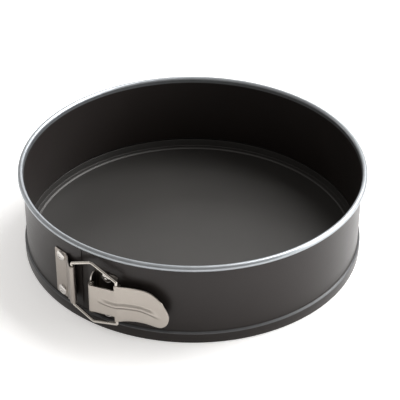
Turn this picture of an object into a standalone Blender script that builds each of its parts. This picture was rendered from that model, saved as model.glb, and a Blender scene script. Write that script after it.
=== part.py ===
"""Springform cake pan: a round sheet-steel band with a toggle latch, and a loose base plate.

Metres, +Z up. The origin is the centre of the base plate's underside, on the surface the pan stands on.
The band's seam and its latch are at the front, towards -Y. Bearings round the pan are measured from the
front, positive towards +X.
"""
import bpy
import bmesh
from math import cos, sin, radians, degrees, pi
from mathutils import Matrix, Vector

MM = 0.001
GAP = 0.3 * MM                      # running gap between neighbouring pieces

# Band: one rolled sheet
SHEET = 0.6 * MM
WALL_OUTER = 130.3 * MM
WALL_MID = WALL_OUTER - SHEET / 2
RIM_OUTER = 134.0 * MM
HEIGHT = 69.5 * MM
CHANNEL_OUTER = 132.0 * MM          # the outward channel that holds the base plate
CHANNEL_TOP = 9.6 * MM
CHANNEL_SHOULDER = 8.7 * MM
LIP_INNER = 128.5 * MM              # the channel's lower lip reaches in to here
ARM_ANGLE = 120                     # each front arm of the band spans this bearing, in degrees
RING_STEP = 4                       # degrees per facet
SEAM_HALF_GAP = 0.15 * MM

# Base plate
PLATE = 0.8 * MM
PLATE_RADIUS = 131.1 * MM
PLATE_FLAT_RADIUS = 125.5 * MM
PLATE_EDGE_TOP = 8.0 * MM

# Latch, all round one height
LATCH_Z = 32.0 * MM
LATCH_SHEET = 1.0 * MM
WIRE_RADIUS = 1.2 * MM
PIN_RADIUS = 1.0 * MM
PIVOT = Vector((15.0 * MM, 137.8 * MM))     # lever's pin, as (x, distance in front of the centre)
BAIL_HINGE = Vector((-5.2 * MM, 135.1 * MM))
BAIL_HOOK = Vector((34.1 * MM, 132.8 * MM))
BAIL_BEND_X = 12.6 * MM
BAIL_BEND_HALF = 26.0 * MM
BAIL_HINGE_HALF = 17.9 * MM
BAIL_HOOK_HALF = 18.9 * MM
BAIL_TIP_HALF = 16.35 * MM
EAR_HALF = 16.0 * MM
TONGUE_HALF = 11.5 * MM
KNUCKLE_INNER = TONGUE_HALF + GAP           # the bracket's knuckles hold the pin beyond the tongue
KNUCKLE_OUTER = 12.9 * MM
BRACKET_HALF = 18.2 * MM
HOOK_PLATE_LEFT = -12.1             # bearings, in degrees
HOOK_PLATE_BEND = -5.8
HOOK_RIVET_BEARING = -9.0
HOOK_RIVET_HALF = 15.5 * MM
BRACKET_RIGHT = 13.6
BRACKET_RIVET_BEARING = 9.9
BRACKET_RIVET_HALF = 15.6 * MM


# ---------------------------------------------------------------- helpers

def clear_scene():
    for ob in list(bpy.data.objects):
        bpy.data.objects.remove(ob, do_unlink=True)


def metal(name, colour, roughness, metallic):
    material = bpy.data.materials.new(name)
    material.use_nodes = True
    shader = material.node_tree.nodes["Principled BSDF"]
    shader.inputs["Base Color"].default_value = (*colour, 1)
    shader.inputs["Roughness"].default_value = roughness
    shader.inputs["Metallic"].default_value = metallic
    return material


def coated(name):
    return metal(name, (0.055, 0.05, 0.047), 0.38, 0.7)


def stainless(name):
    return metal(name, (0.56, 0.53, 0.49), 0.34, 1.0)


def add_object(name, mesh, material):
    ob = bpy.data.objects.new(name, mesh)
    mesh.materials.append(material)
    bpy.context.scene.collection.objects.link(ob)
    return ob


def mesh_from(name, points, faces):
    mesh = bpy.data.meshes.new(name)
    mesh.from_pydata([tuple(p) for p in points], [], faces)
    shaped = bmesh.new()
    shaped.from_mesh(mesh)
    bmesh.ops.recalc_face_normals(shaped, faces=shaped.faces)
    shaped.to_mesh(mesh)
    shaped.free()
    mesh.shade_smooth()
    mesh.set_sharp_from_angle(angle=radians(35))
    return mesh


def at_bearing(radius, bearing, z):
    """The point at this radius and bearing (degrees from the front, towards +X)."""
    angle = radians(bearing)
    return Vector((radius * sin(angle), -radius * cos(angle), z))


def plan_bearing(radius, bearing):
    """The same in plan, as (x, distance in front of the centre)."""
    return Vector((radius * sin(radians(bearing)), radius * cos(radians(bearing))))


def arc(centre, radius, start, end, steps):
    """Points on an arc in a plane, start and end in degrees, both ends included."""
    angles = [radians(start + (end - start) * i / steps) for i in range(steps + 1)]
    return [Vector((centre[0] + radius * cos(a), centre[1] + radius * sin(a))) for a in angles]


def normals_along(path):
    """The unit normal on the left of an open path at each of its points, mitred at bends."""
    result = []
    for i, point in enumerate(path):
        before = point - path[i - 1] if i > 0 else path[1] - point
        after = path[i + 1] - point if i + 1 < len(path) else point - path[i - 1]
        before, after = before.normalized(), after.normalized()
        normal = Vector((-before.y - after.y, before.x + after.x)).normalized()
        mitre = max(normal.dot(Vector((-before.y, before.x))), 0.5)
        result.append(normal / mitre)
    return result


def thickened(path, thickness):
    """The closed outline of a strip of this thickness along an open path."""
    sides = normals_along(path)
    left = [p + n * thickness / 2 for p, n in zip(path, sides)]
    right = [p - n * thickness / 2 for p, n in zip(path, sides)]
    return left + right[::-1]


def swept_ring(name, outline, bearings):
    """A closed (radius, z) outline swept through these bearings, with flat ends."""
    count = len(outline)
    points = [at_bearing(p[0], b, p[1]) for b in bearings for p in outline]
    faces = []
    for ring in range(len(bearings) - 1):
        for i in range(count):
            j = (i + 1) % count
            here, there = ring * count, (ring + 1) * count
            faces.append((here + i, here + j, there + j, there + i))
    faces.append(tuple(range(count)))
    faces.append(tuple(range(len(points) - 1, len(points) - 1 - count, -1)))
    return mesh_from(name, points, faces)


def turned(name, profile, steps):
    """A solid turned about Z from an outer (radius, z) profile, whose two ends lie on the axis."""
    rims = profile[1:-1]
    points = [Vector((0, 0, profile[0][1])), Vector((0, 0, profile[-1][1]))]
    for i in range(steps):
        angle = 2 * pi * i / steps
        points += [Vector((r * cos(angle), r * sin(angle), z)) for r, z in rims]
    faces = []
    for i in range(steps):
        here = 2 + i * len(rims)
        there = 2 + (i + 1) % steps * len(rims)
        faces.append((0, there, here))
        for k in range(len(rims) - 1):
            faces.append((here + k, there + k, there + k + 1, here + k + 1))
        faces.append((1, here + len(rims) - 1, there + len(rims) - 1))
    return mesh_from(name, points, faces)


def bent_sheet(name, path, lows, highs, rows):
    """A sheet that follows a path in plan, from height lows[i] to highs[i] at each of its points."""
    sides = normals_along(path)
    points = []
    for side in (0.5, -0.5):
        for p, n, low, high in zip(path, sides, lows, highs):
            q = p + n * side * LATCH_SHEET
            points += [Vector((q.x, -q.y, LATCH_Z + low + (high - low) * k / rows)) for k in range(rows + 1)]
    width = rows + 1
    half = len(points) // 2
    faces = []
    for i in range(len(path) - 1):
        for k in range(rows):
            a, b = i * width + k, (i + 1) * width + k
            faces.append((a, b, b + 1, a + 1))
            faces.append((half + a, half + a + 1, half + b + 1, half + b))
        for k in (0, rows):
            a, b = i * width + k, (i + 1) * width + k
            faces.append((a, b, half + b, half + a) if k else (a, half + a, half + b, b))
    for end in (0, (len(path) - 1) * width):
        for k in range(rows):
            a = end + k
            faces.append((a, a + 1, half + a + 1, half + a))
    return mesh_from(name, points, faces)


def cut(ob, cutter, operation="DIFFERENCE"):
    cutter.hide_render = True
    cutter.display_type = "WIRE"
    modifier = ob.modifiers.new(operation.lower(), "BOOLEAN")
    modifier.operation = operation
    modifier.object = cutter


def block(name, low, high):
    """A box between two corners."""
    size = [h - l for l, h in zip(low, high)]
    centre = Vector([(l + h) / 2 for l, h in zip(low, high)])
    shaped = bmesh.new()
    bmesh.ops.create_cube(shaped, size=1, matrix=Matrix.Translation(centre) @ Matrix.Diagonal((*size, 1)))
    mesh = bpy.data.meshes.new(name)
    shaped.to_mesh(mesh)
    shaped.free()
    return add_object(name, mesh, metal(name, (0.5, 0.5, 0.5), 0.5, 0))


def radial_pose(bearing, z):
    """A frame whose +Z points straight out of the pan at this bearing and height."""
    outward = at_bearing(1, bearing, 0)
    return Matrix.Translation((0, 0, z)) @ outward.to_track_quat("Z", "Y").to_matrix().to_4x4()


# ---------------------------------------------------------------- band

def band_outline():
    """The band's section: channel lip, channel, shoulder, wall, and the rim rolled outwards."""
    half = SHEET / 2
    channel = CHANNEL_OUTER - half
    roll = (RIM_OUTER - (WALL_OUTER - SHEET)) / 2 - half
    roll_centre = (WALL_MID + roll, HEIGHT - half - roll)
    path = [Vector((LIP_INNER, half))]
    path += arc((channel - 0.8 * MM, half + 0.8 * MM), 0.8 * MM, -90, 0, 2)
    path += [Vector((channel, CHANNEL_SHOULDER - 0.6 * MM))]
    path += [Vector((channel - 0.6 * MM, CHANNEL_SHOULDER))]
    path += [Vector((WALL_MID, CHANNEL_TOP))]
    path += arc(roll_centre, roll, 180, -125, 9)
    return thickened(path, SHEET)


def bearings_between(start, end):
    """Facet bearings on the ring's own grid, with the given ends kept exactly."""
    first = int(start // RING_STEP) + 1
    inner = [k * RING_STEP for k in range(first, int(-(-end // RING_STEP)))]
    return [start] + [b for b in inner if b - start > 0.3 and end - b > 0.3] + [end]


def rivet_hole(name, bearing, z):
    """A cutter for the hole that a rivet passes through."""
    shaped = bmesh.new()
    place = radial_pose(bearing, z) @ Matrix.Translation((0, 0, WALL_MID))
    bmesh.ops.create_cone(shaped, cap_ends=True, segments=12, radius1=1.8 * MM, radius2=1.8 * MM,
                          depth=8 * MM, matrix=place)
    mesh = bpy.data.meshes.new(name)
    shaped.to_mesh(mesh)
    shaped.free()
    return add_object(name, mesh, metal(name, (0.5, 0.5, 0.5), 0.5, 0))


def make_band():
    outline = band_outline()
    joint_gap = degrees(GAP / 2 / WALL_OUTER)
    seam_gap = degrees(SEAM_HALF_GAP / WALL_OUTER)
    spans = {
        "band_back": (ARM_ANGLE + joint_gap, 360 - ARM_ANGLE - joint_gap),
        "band_left": (-ARM_ANGLE + joint_gap, -seam_gap),
        "band_right": (seam_gap, ARM_ANGLE - joint_gap),
    }
    made = {}
    for name, (start, end) in spans.items():
        mesh = swept_ring(name, outline, bearings_between(start, end))
        made[name] = add_object(name, mesh, coated(name))
    cut(made["band_right"], make_seam_tab(), "UNION")
    return made


def make_seam_tab():
    """The strip spot-welded inside the right end, which the left end laps over."""
    inner = WALL_OUTER - 2 * SHEET - GAP
    free = [(inner, 12 * MM), (inner + SHEET, 12 * MM), (inner + SHEET, 62 * MM), (inner, 62 * MM)]
    bearings = (-2.7, -1.3, 0.02, 0.5, 1.7, 2.9)
    points, faces = [], []
    for bearing in bearings:
        for k, (radius, z) in enumerate(free):
            welded = bearing > 0.3 and k in (1, 2)
            points.append(at_bearing(WALL_MID if welded else radius, bearing, z))
    for ring in range(len(bearings) - 1):
        for k in range(4):
            a, b = ring * 4 + k, ring * 4 + (k + 1) % 4
            faces.append((a, b, b + 4, a + 4))
    faces.append((0, 1, 2, 3))
    last = (len(bearings) - 1) * 4
    faces.append((last + 3, last + 2, last + 1, last))
    return add_object("seam_tab_weld", mesh_from("seam_tab_weld", points, faces), coated("seam_tab_weld"))


# ---------------------------------------------------------------- base plate

def make_base_plate():
    """A pressed disc: flat floor, a small step up over the channel's lip, and a turned-up edge."""
    top, under, edge = PLATE, 0, PLATE_RADIUS
    lift = 0.95 * MM
    profile = [
        (0, under), (PLATE_FLAT_RADIUS, under), (PLATE_FLAT_RADIUS + 2 * MM, lift),
        (edge - 0.8 * MM, lift), (edge, lift + 0.8 * MM), (edge, PLATE_EDGE_TOP),
        (edge - PLATE, PLATE_EDGE_TOP), (edge - PLATE, lift + PLATE + 0.5 * MM),
        (edge - PLATE - 0.5 * MM, lift + PLATE), (PLATE_FLAT_RADIUS + 1.6 * MM, lift + PLATE),
        (PLATE_FLAT_RADIUS - 0.3 * MM, top), (0, top),
    ]
    mesh = turned("base_plate", profile, 360 // RING_STEP)
    return add_object("base_plate", mesh, coated("base_plate"))


# ---------------------------------------------------------------- latch, left side

def make_hook_plate():
    """Riveted flat on the band, then stepped out and rolled over the bail's straight run."""
    seat = WALL_OUTER + GAP + LATCH_SHEET / 2
    flat = [plan_bearing(seat, HOOK_PLATE_LEFT + (HOOK_PLATE_BEND - HOOK_PLATE_LEFT) * i / 5) for i in range(6)]
    roll = WIRE_RADIUS + GAP + LATCH_SHEET / 2
    curl = arc(BAIL_HINGE, roll, 128, -150, 10)
    path = flat + curl
    edge, neck = 20.0 * MM, 16.5 * MM
    halves = [edge - 1.2 * MM, edge, edge, edge, edge, neck + 0.8 * MM] + [neck] * len(curl)
    mesh = bent_sheet("hook_plate", path, [-h for h in halves], halves, 2)
    return add_object("hook_plate", mesh, stainless("hook_plate"))


def make_rivet(name, bearing, z, sheet_outer):
    """A rivet through a latch sheet and the band: domed head outside, flat head inside the pan."""
    shank, head, dome = 1.5 * MM, 4.2 * MM, 1.6 * MM
    outside = sheet_outer + GAP
    inside = WALL_OUTER - SHEET - GAP
    profile = [(0, inside - 0.8 * MM), (2.4 * MM, inside - 0.8 * MM), (2.7 * MM, inside - 0.4 * MM),
               (2.7 * MM, inside), (shank, inside), (shank, outside), (head, outside),
               (head, outside + 0.3 * MM)]
    profile += [(head * cos(radians(a)), outside + 0.3 * MM + (dome - 0.3 * MM) * sin(radians(a)))
                for a in (30, 60)]
    profile.append((0, outside + dome))
    ob = add_object(name, turned(name, profile, 14), stainless(name))
    ob.matrix_world = radial_pose(bearing, z)
    return ob


def filleted(corners, radii, steps):
    """A path through these corners, rounded at each inner one."""
    path = [corners[0]]
    for before, corner, after, radius in zip(corners, corners[1:], corners[2:], radii):
        towards, onwards = (before - corner).normalized(), (after - corner).normalized()
        half = towards.angle(onwards) / 2
        centre = corner + (towards + onwards).normalized() * radius / sin(half)
        start = corner + towards * radius / (sin(half) / cos(half)) - centre
        end = corner + onwards * radius / (sin(half) / cos(half)) - centre
        path += [centre + start.slerp(end, i / steps, start).normalized() * radius for i in range(steps + 1)]
    return path + [corners[-1]]


def make_bail():
    """One wire: up the hook plate's curl, out and back in to the ears, alike above and below."""
    def corner(plan, half):
        return Vector((plan[0], -plan[1], half))
    share = (BAIL_BEND_X - BAIL_HINGE.x) / (BAIL_HOOK.x - BAIL_HINGE.x)
    bend = BAIL_HINGE.lerp(BAIL_HOOK, share)
    upper = [corner(BAIL_HINGE, 0), corner(BAIL_HINGE, BAIL_HINGE_HALF), corner(bend, BAIL_BEND_HALF),
             corner(BAIL_HOOK, BAIL_HOOK_HALF), corner(BAIL_HOOK, BAIL_TIP_HALF)]
    half = filleted(upper, (2.0 * MM, 4.0 * MM, 1.3 * MM), 4)[1:]
    path = [Vector((p.x, p.y, -p.z)) for p in half[::-1]] + half
    curve = bpy.data.curves.new("bail_wire", "CURVE")
    curve.dimensions = "3D"
    curve.bevel_depth = WIRE_RADIUS
    curve.bevel_resolution = 2
    curve.use_fill_caps = True
    spline = curve.splines.new("POLY")
    spline.points.add(len(path) - 1)
    hinge = corner(BAIL_HINGE, 0)
    for point, place in zip(spline.points, path):
        point.co = (*(place - hinge), 1)
    ob = add_object("bail_wire", curve, stainless("bail_wire"))
    ob.location = hinge + Vector((0, 0, LATCH_Z))
    return ob


# ---------------------------------------------------------------- latch, right side

def make_bracket():
    """Riveted to the band, its left side turned up as a tapering wall that ends in two knuckles."""
    seat = WALL_OUTER + GAP + LATCH_SHEET / 2
    roll = PIN_RADIUS + GAP + LATCH_SHEET / 2
    wall_x = PIVOT.x - roll
    foot = [plan_bearing(seat, BRACKET_RIGHT + (6.6 - BRACKET_RIGHT) * i / 3) for i in range(4)]
    bend = arc((wall_x + 1.2 * MM, 131.2 * MM), 1.2 * MM, 245, 180, 3)
    wall_top = Vector((wall_x, 135.1 * MM))
    path = foot + bend + [wall_top]
    halves = [BRACKET_HALF - 1.5 * MM] + [BRACKET_HALF] * (len(path) - 2) + [KNUCKLE_OUTER]
    bracket = add_object("bracket", bent_sheet("bracket", path, [-h for h in halves], halves, 2),
                         stainless("bracket"))
    strip = [wall_top - Vector((0, 1.5 * MM)), wall_top] + arc(PIVOT, roll, 180, -95, 9)
    for side, name in ((1, "knuckle_upper"), (-1, "knuckle_lower")):
        low, high = sorted((side * KNUCKLE_INNER, side * KNUCKLE_OUTER))
        mesh = bent_sheet(name, strip, [low] * len(strip), [high] * len(strip), 1)
        cut(bracket, add_object(name, mesh, stainless(name)), "UNION")
    return bracket


def make_pin():
    ends = KNUCKLE_OUTER + 0.4 * MM
    profile = [(0, -ends), (PIN_RADIUS * 0.7, -ends), (PIN_RADIUS, -ends + 0.3 * MM),
               (PIN_RADIUS, ends - 0.3 * MM), (PIN_RADIUS * 0.7, ends), (0, ends)]
    pin = add_object("pivot_pin", turned("pivot_pin", profile, 16), stainless("pivot_pin"))
    pin.location = (PIVOT.x, -PIVOT.y, LATCH_Z)
    return pin


def lever_path():
    """The lever's sheet in plan: rolled round the pin, along the tongue, then round the band to the tip."""
    roll = PIN_RADIUS + GAP + LATCH_SHEET / 2
    fold = arc(PIVOT, roll, 73 + 290, 73, 12)
    tongue_end = Vector((33.2 * MM, 134.2 * MM))
    tongue = [fold[-1].lerp(tongue_end, t) for t in (0.5, 0.98)]
    ears = [fold[-1].lerp(tongue_end, t) for t in (1.0, 1.09)]
    grip = [plan_bearing(radius * MM, bearing) for bearing, radius in
            ((16.5, 136.9), (18.5, 136.4), (20.5, 136.1), (22.5, 136.1), (24.5, 136.3), (26, 136.7),
             (27.5, 137.3), (28.8, 138.0), (29.8, 138.6), (30.6, 139.1))]
    return fold, tongue, ears, grip


def make_lever():
    """Thumb lever: folded tongue on the pin, ears for the bail's tips, and a broad curved grip."""
    fold, tongue, ears, grip = lever_path()
    highs = [TONGUE_HALF] * (len(fold) + len(tongue)) + [EAR_HALF] * 2
    lows = [-h for h in highs]
    highs += [h * MM for h in (15.7, 15.8, 15.9, 15.8, 15.3, 13.9, 11.4, 8.2, 4.6, 0.6)]
    lows += [-h * MM for h in (14.6, 13.9, 13.4, 13.3, 13.7, 14.3, 14.4, 13.3, 11.2, 7.2)]
    lever = add_object("lever", bent_sheet("lever", fold + tongue + ears + grip, lows, highs, 4),
                       stainless("lever"))
    along = (ears[1] - ears[0]).normalized()
    inner_corner = Matrix.Translation((ears[0].x, -ears[0].y, LATCH_Z))
    turn = Matrix.Rotation(-along.angle_signed(Vector((1, 0))), 4, "Z")
    for side, name in ((1, "ear_upper"), (-1, "ear_lower")):
        low, high = sorted((side * (EAR_HALF - LATCH_SHEET), side * EAR_HALF))
        ear = block(name, (0, 0, low), (3.6 * MM, 2.4 * MM, high))
        ear.matrix_world = inner_corner @ turn
        cut(lever, ear, "UNION")
    return lever


# ---------------------------------------------------------------- the pan

def main():
    clear_scene()
    band = make_band()
    make_base_plate()
    hook_plate = make_hook_plate()
    make_bail()
    bracket = make_bracket()
    make_pin()
    make_lever()
    sheet_outer = WALL_OUTER + GAP + LATCH_SHEET
    sets = (("hook_plate_rivet", HOOK_RIVET_BEARING, HOOK_RIVET_HALF, hook_plate, band["band_left"]),
            ("bracket_rivet", BRACKET_RIVET_BEARING, BRACKET_RIVET_HALF, bracket, band["band_right"]))
    for name, bearing, half, sheet, arm in sets:
        for side, place in ((1, "upper"), (-1, "lower")):
            z = LATCH_Z + side * half
            hole = rivet_hole(f"{name}_hole_{place}", bearing, z)
            cut(sheet, hole)
            cut(arm, hole)
            make_rivet(f"{name}_{place}", bearing, z, sheet_outer)


main()
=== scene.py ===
# %% [markdown]
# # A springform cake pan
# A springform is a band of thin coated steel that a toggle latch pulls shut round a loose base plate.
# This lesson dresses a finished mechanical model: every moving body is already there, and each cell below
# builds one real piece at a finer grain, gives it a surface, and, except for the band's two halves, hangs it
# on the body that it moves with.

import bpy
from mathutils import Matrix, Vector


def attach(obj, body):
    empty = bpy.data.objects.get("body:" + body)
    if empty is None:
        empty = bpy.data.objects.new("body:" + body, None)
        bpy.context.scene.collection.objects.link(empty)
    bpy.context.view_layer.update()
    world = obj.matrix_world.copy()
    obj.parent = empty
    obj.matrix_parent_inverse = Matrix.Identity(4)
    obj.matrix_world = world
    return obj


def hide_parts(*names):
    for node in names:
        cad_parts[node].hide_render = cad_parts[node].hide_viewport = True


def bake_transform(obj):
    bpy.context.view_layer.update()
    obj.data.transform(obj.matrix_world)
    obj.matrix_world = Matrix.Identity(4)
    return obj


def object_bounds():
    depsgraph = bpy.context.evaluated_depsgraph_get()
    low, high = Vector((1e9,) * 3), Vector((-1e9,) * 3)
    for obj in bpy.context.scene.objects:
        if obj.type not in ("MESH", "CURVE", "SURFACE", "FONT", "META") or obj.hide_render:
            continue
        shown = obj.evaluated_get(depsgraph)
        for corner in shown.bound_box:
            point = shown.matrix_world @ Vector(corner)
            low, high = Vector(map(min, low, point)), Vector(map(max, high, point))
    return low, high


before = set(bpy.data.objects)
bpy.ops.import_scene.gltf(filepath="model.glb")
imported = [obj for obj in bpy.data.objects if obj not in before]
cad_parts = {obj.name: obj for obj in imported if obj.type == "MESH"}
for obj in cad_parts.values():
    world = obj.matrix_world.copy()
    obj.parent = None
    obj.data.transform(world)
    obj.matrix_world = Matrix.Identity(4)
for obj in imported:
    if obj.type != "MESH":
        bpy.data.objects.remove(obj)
cad_low, cad_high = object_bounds()

# %% Tools for this lesson
import bmesh
import bpy
from math import atan2, cos, degrees, pi, radians, sin, tan
from mathutils import Matrix, Vector

MM = 0.001
print("model box in mm:", [round(v / MM, 1) for v in (*cad_low, *cad_high)])

# %% [markdown]
# ## The camera
# The pan stands level and is seen from above and from the right of its latch, through a long lens, which
# keeps the near and far sides of the rim almost the same size. Setting the camera first fixes what the
# viewer can judge. Its shift is tiny: it only places the pan in the picture.

# %% Camera
VIEW_BEARING = 37.4
VIEW_HEIGHT = 34.68
VIEW_DISTANCE = 1.095
LENS = 126.0
ROLL = 0.22
PICTURE_SHIFT = (0.0185, -0.0019)


def aim(ob, target, bearing, height, distance):
    """Put ob this far from target, at a bearing round the pan and an angle above the table."""
    away = Vector((sin(radians(bearing)) * cos(radians(height)),
                   -cos(radians(bearing)) * cos(radians(height)), sin(radians(height))))
    ob.location = target + away * distance
    ob.rotation_euler = away.to_track_quat("Z", "Y").to_euler()


camera = bpy.data.objects.new("camera", bpy.data.cameras.new("camera"))
bpy.context.scene.collection.objects.link(camera)
middle = Vector((0, 0, cad_high.z / 2))
aim(camera, middle, VIEW_BEARING, VIEW_HEIGHT, VIEW_DISTANCE)
camera.rotation_euler.rotate_axis("Z", radians(ROLL))
camera.data.lens = LENS
camera.data.shift_x, camera.data.shift_y = PICTURE_SHIFT
bpy.context.scene.camera = camera
print("camera at", [round(v, 3) for v in camera.location])

# %% [markdown]
# ## Light
# Polished sheet shows its surroundings more than its own colour, so the light is what draws this object.
# A dim warm room and five soft panels do it. The panel high behind the pan draws the pale lines along the
# rim and the shoulder. The low ones on the right and behind let the dark wall brighten towards its edge.
# The overhead and left panels are weak and only keep the near side from going black.

# %% Light
ROOM_COLOUR = (1.0, 0.96, 0.92, 1)
ROOM_STRENGTH = 0.34


def panel(name, bearing, height, distance, size, power):
    """A square soft light that faces the middle of the pan."""
    light = bpy.data.lights.new(name, "AREA")
    light.shape = "SQUARE"
    light.size = size
    light.energy = power
    ob = bpy.data.objects.new(name, light)
    bpy.context.scene.collection.objects.link(ob)
    aim(ob, middle, bearing, height, distance)


panel("high_light", bearing=166, height=50, distance=1.7, size=1.2, power=36)
panel("overhead_light", bearing=20, height=80, distance=1.8, size=1.8, power=2)
panel("right_light", bearing=124, height=20, distance=1.5, size=1.2, power=17)
panel("left_light", bearing=-84, height=22, distance=1.6, size=0.6, power=1.2)
panel("back_light", bearing=215, height=20, distance=2.2, size=1.6, power=10)

room = bpy.data.worlds.new("room")
room.use_nodes = True
room.node_tree.nodes["Background"].inputs["Color"].default_value = ROOM_COLOUR
room.node_tree.nodes["Background"].inputs["Strength"].default_value = ROOM_STRENGTH
bpy.context.scene.world = room
bpy.context.scene.view_settings.view_transform = "Standard"
print("panels:", sum(light.type == "AREA" for light in bpy.data.lights))

# %% [markdown]
# ## Surface recipes
# A surface here is a small sum: noise plus a mask times a colour. Written node by node it is hard to read,
# so a wire between nodes becomes a Python value. Adding or multiplying two of them adds the Math node that
# does it. Everything that varies feeds colour, roughness, metal or bump only.

# %% Arithmetic on node sockets
class Wire:
    """What comes out of a node. Sums and products of wires and numbers add Math nodes."""

    def __init__(self, finish, socket):
        self.finish = finish
        self.socket = socket

    def maths(self, operation, first, second):
        return self.finish.node("ShaderNodeMath", {"operation": operation}, {0: first, 1: second})

    def __add__(self, other):
        return self.maths("ADD", self, other)

    def __sub__(self, other):
        return self.maths("SUBTRACT", self, other)

    def __rsub__(self, other):
        return self.maths("SUBTRACT", other, self)

    def __mul__(self, other):
        return self.maths("MULTIPLY", self, other)

    def __pow__(self, other):
        return self.maths("POWER", self, other)

    __radd__ = __add__
    __rmul__ = __mul__


class Finish:
    """A Principled material. node() adds to its tree and drive() leads the results to the shader."""

    def __init__(self, name, constants):
        self.material = bpy.data.materials.new(name)
        self.material.use_nodes = True
        self.tree = self.material.node_tree
        self.shader = self.tree.nodes["Principled BSDF"]
        for key, value in constants.items():
            self.shader.inputs[key].default_value = value

    def plug(self, socket, value):
        if isinstance(value, Wire):
            self.tree.links.new(value.socket, socket)
        else:
            socket.default_value = value

    def node(self, kind, settings=None, sockets=None, out=0):
        """A node of this kind: settings first, then what its sockets hold; returns one of its outputs."""
        made = self.tree.nodes.new(kind)
        for key, value in (settings or {}).items():
            setattr(made, key, value)
        for key, value in (sockets or {}).items():
            self.plug(made.inputs[key], value)
        return Wire(self, made.outputs[out])

    def drive(self, **inputs):
        """Lead varying values to the shader's own sockets."""
        for key, value in inputs.items():
            self.plug(self.shader.inputs[key.replace("_", " ").title()], value)

    def place(self):
        return self.node("ShaderNodeTexCoord", out="Object")

    def axis(self, vector, letter):
        return self.node("ShaderNodeSeparateXYZ", None, {0: vector}, out=letter)

    def noise(self, vector, scale, detail, rough):
        return self.node("ShaderNodeTexNoise", None,
                         {"Vector": vector, "Scale": scale, "Detail": detail, "Roughness": rough})

    def stretched(self, vector, scale):
        return self.node("ShaderNodeVectorMath", {"operation": "MULTIPLY"}, {0: vector, 1: scale})

    def between(self, value, low, high):
        """0 below low, 1 above high, smooth in the middle."""
        return self.node("ShaderNodeMapRange", {"interpolation_type": "SMOOTHSTEP"},
                         {"Value": value, "From Min": low, "From Max": high})

    def blend(self, mask, first, second):
        """One colour over another by a mask."""
        sockets = {0: mask, 6: first, 7: second}
        return self.node("ShaderNodeMix", {"data_type": "RGBA"}, sockets, out=2)

    def bump(self, height, distance):
        return self.node("ShaderNodeBump", None, {"Height": height, "Distance": distance})


print("surface tools ready")

# %% [markdown]
# ## Dark coating
# The band and the base are steel under a baked dark grey coating. It is smooth but not flat: a fine grain,
# slow clouds of lighter and darker grey, and faint wipe marks. Its colour is painted darker towards the
# table as painted shade, and painted pale and more metallic on the rim and on the shoulder over the channel
# as a painted highlight, where the rolled sheet catches light from above. A painted picture of scratches
# could do this, but noise has no seams and no fixed size, so noises of three sizes are blended, and the
# height above the table says where the painted shade and the painted highlight lie.

# %% Coating colours
COAT_DARK = (0.017, 0.014, 0.0135, 1)
COAT_LIGHT = (0.028, 0.0235, 0.0225, 1)
COAT_GRAIN = (0.05, 0.043, 0.04, 1)
# Painted shade: the coating colour that darkens the wall towards the table.
COAT_PAINTED_SHADE = (0.011, 0.0075, 0.006, 1)
# Painted highlight: the pale colours of the rim. The shoulder gets them at a quarter strength.
RIM_HIGHLIGHT_DULL = (0.3, 0.32, 0.34, 1)
RIM_HIGHLIGHT_BRIGHT = (0.44, 0.465, 0.49, 1)
SHOULDER_HIGHLIGHT = 0.24
GRAIN_SCALE = 2600.0
GRAIN_BUMP = 0.00003
print("brightest to darkest:", round(RIM_HIGHLIGHT_BRIGHT[0] / COAT_PAINTED_SHADE[0]))

# %% Dark coating
def coating(name, rim_low, shoulder):
    """Dark baked coating, painted darker towards the table as painted shade. rim_low is the height where the
    painted highlight on the rim starts; shoulder is the height range of the shoulder's painted highlight.
    """
    finish = Finish(name, {"Specular IOR Level": 0.26})
    place = finish.place()
    height = finish.axis(place, "Z")
    grain = finish.noise(place, GRAIN_SCALE, 3.0, 0.6)
    cloud = finish.noise(place, 22.0, 3.0, 0.55)
    wipe = finish.noise(finish.stretched(place, (60.0, 60.0, 900.0)), 1.0, 3.0, 0.6)
    # Painted shade: the coating is painted darker towards the table, fading out up to the rim.
    painted_shade_low = 1 - finish.between(height, 0.0, rim_low)
    dark = finish.blend(cloud, COAT_DARK, COAT_LIGHT)
    dark = finish.blend(grain * 0.3, dark, COAT_GRAIN)
    dark = finish.blend(painted_shade_low * 0.75, dark, COAT_PAINTED_SHADE)
    # Painted highlight: the rim and the shoulder's ridge are painted pale and more metallic, where the
    # rolled sheet catches light from above.
    rim = finish.between(height, rim_low - 0.6 * MM, rim_low + 0.6 * MM)
    ridge = finish.between(height, shoulder[0], shoulder[0] + 0.4 * MM)
    ridge = ridge * (1 - finish.between(height, shoulder[1] - 0.4 * MM, shoulder[1]))
    pale = finish.blend(finish.noise(place, 160.0, 4.0, 0.6), RIM_HIGHLIGHT_DULL, RIM_HIGHLIGHT_BRIGHT)
    painted_highlight = rim + ridge * SHOULDER_HIGHLIGHT
    finish.drive(base_color=finish.blend(painted_highlight, dark, pale),
                 metallic=0.12 + painted_highlight * 0.68,
                 roughness=0.25 + wipe * 0.09 + grain * 0.06,
                 normal=finish.bump(grain + wipe * 0.4, GRAIN_BUMP))
    return finish.material


band_height = cad_high.z
RIM_WIDTH = 4.3 * MM
# The heights of the shoulder's painted highlight.
SHOULDER_HIGHLIGHT_HEIGHTS = (8.2 * MM, 9.9 * MM)
band_coat = coating("band_coating", band_height - RIM_WIDTH, SHOULDER_HIGHLIGHT_HEIGHTS)
print("coating nodes:", len(band_coat.node_tree.nodes))

# %% [markdown]
# ## Shapes from a section
# The band, like most spun and rolled ware, is one section carried round an axis. The section is written as
# the middle line of the sheet, its corners are rounded, and then it is thickened to the sheet's gauge.

# %% Paths
def rows_between(low, high, count):
    return [low + (high - low) * i / count for i in range(count + 1)]


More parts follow.
